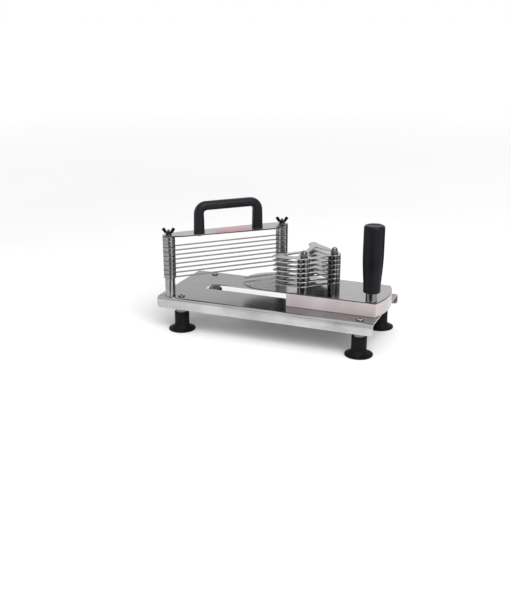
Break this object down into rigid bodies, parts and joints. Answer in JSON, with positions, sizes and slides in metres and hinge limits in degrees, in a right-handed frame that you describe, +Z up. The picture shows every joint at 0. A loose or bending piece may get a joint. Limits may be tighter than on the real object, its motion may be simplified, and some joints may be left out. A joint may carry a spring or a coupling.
{
  "type": "manual tomato slicer",
  "caption": "Countertop slicer: a hand-pushed carriage with a fingered pusher drives a tomato through a diagonal frame of parallel blades on a folded steel base with suction feet.",
  "frame": {"origin": "on the floor under the middle of the whole object's box, midway between the front and rear feet", "axes": "+Z up, +X along the base towards the hand grip, the carriage pushes towards -X, +Y towards the rear post"},
  "size_m": [0.436, 0.208, 0.2499],
  "materials": {
    "base_steel": "satin brushed sheet",
    "polished_steel": "polished",
    "turned_steel": "turned, fairly bright",
    "blade_steel": "ground strip",
    "pusher_steel": "tumbled laser-cut plate",
    "hardware_steel": "bright standard hardware",
    "insert_brass": "moulded-in brass",
    "foot_rubber": "matt black",
    "collar_grey": "dull grey",
    "black_plastic": "fine satin moulding",
    "white_plastic": "milled white plastic",
    "black_metal": "black coated",
    "label_pink": "plain printed film"
  },
  "bodies": {
    "frame": {"base_plate": "base_steel", "suction_foot_front_left": "foot_rubber", "suction_foot_front_right": "foot_rubber", "suction_foot_rear_left": "foot_rubber", "suction_foot_rear_right": "foot_rubber", "foot_collars": "collar_grey", "foot_inserts": "insert_brass", "foot_screws": "polished_steel", "post_tube_front": "turned_steel", "blade_spacers_front": "turned_steel", "top_spacer_front": "turned_steel", "tie_rod_front": "hardware_steel", "post_tube_rear": "turned_steel", "blade_spacers_rear": "turned_steel", "top_spacer_rear": "turned_steel", "tie_rod_rear": "hardware_steel", "blade_1": "blade_steel", "blade_2": "blade_steel", "blade_3": "blade_steel", "blade_4": "blade_steel", "blade_5": "blade_steel", "blade_6": "blade_steel", "blade_7": "blade_steel", "blade_8": "blade_steel", "rod_washers": "hardware_steel", "rod_nuts": "hardware_steel", "wing_nut_washers": "hardware_steel", "top_plate": "base_steel", "label_strip": "label_pink", "bow_handle": "black_plastic", "bow_handle_screws": "hardware_steel"},
    "carriage": {"slide_block": "white_plastic", "carriage_plate": "polished_steel", "guide_key": "white_plastic", "retaining_strip": "hardware_steel", "retaining_screws": "hardware_steel", "pusher_plate_1": "pusher_steel", "pusher_plate_2": "pusher_steel", "pusher_plate_3": "pusher_steel", "pusher_plate_4": "pusher_steel", "pusher_plate_5": "pusher_steel", "pusher_plate_6": "pusher_steel", "pusher_plate_7": "pusher_steel", "pusher_spacers_front": "turned_steel", "pusher_foot_front": "turned_steel", "pusher_bolt_front": "hardware_steel", "cap_washer_front": "hardware_steel", "cap_nut_front": "hardware_steel", "pusher_spacers_rear": "turned_steel", "pusher_foot_rear": "turned_steel", "pusher_bolt_rear": "hardware_steel", "cap_washer_rear": "hardware_steel", "cap_nut_rear": "hardware_steel", "hand_grip": "black_plastic", "grip_ferrule": "turned_steel", "grip_spindle": "hardware_steel"},
    "wing_nut_front": {"wing_nut_front": "black_metal"},
    "wing_nut_rear": {"wing_nut_rear": "black_metal"}
  },
  "joints": [
    {"name": "carriage_slide", "type": "slide", "parent": "frame", "child": "carriage", "axis": [-1, 0, 0], "range_m": [0, 0.189]},
    {"name": "wing_nut_front_turn", "type": "hinge", "parent": "frame", "child": "wing_nut_front", "pos_m": [-0.1952, -0.08375, 0.19], "axis": [0, 0, 1], "continuous": true},
    {"name": "wing_nut_rear_turn", "type": "hinge", "parent": "frame", "child": "wing_nut_rear", "pos_m": [-0.0277, 0.08375, 0.19], "axis": [0, 0, 1], "continuous": true}
  ]
}
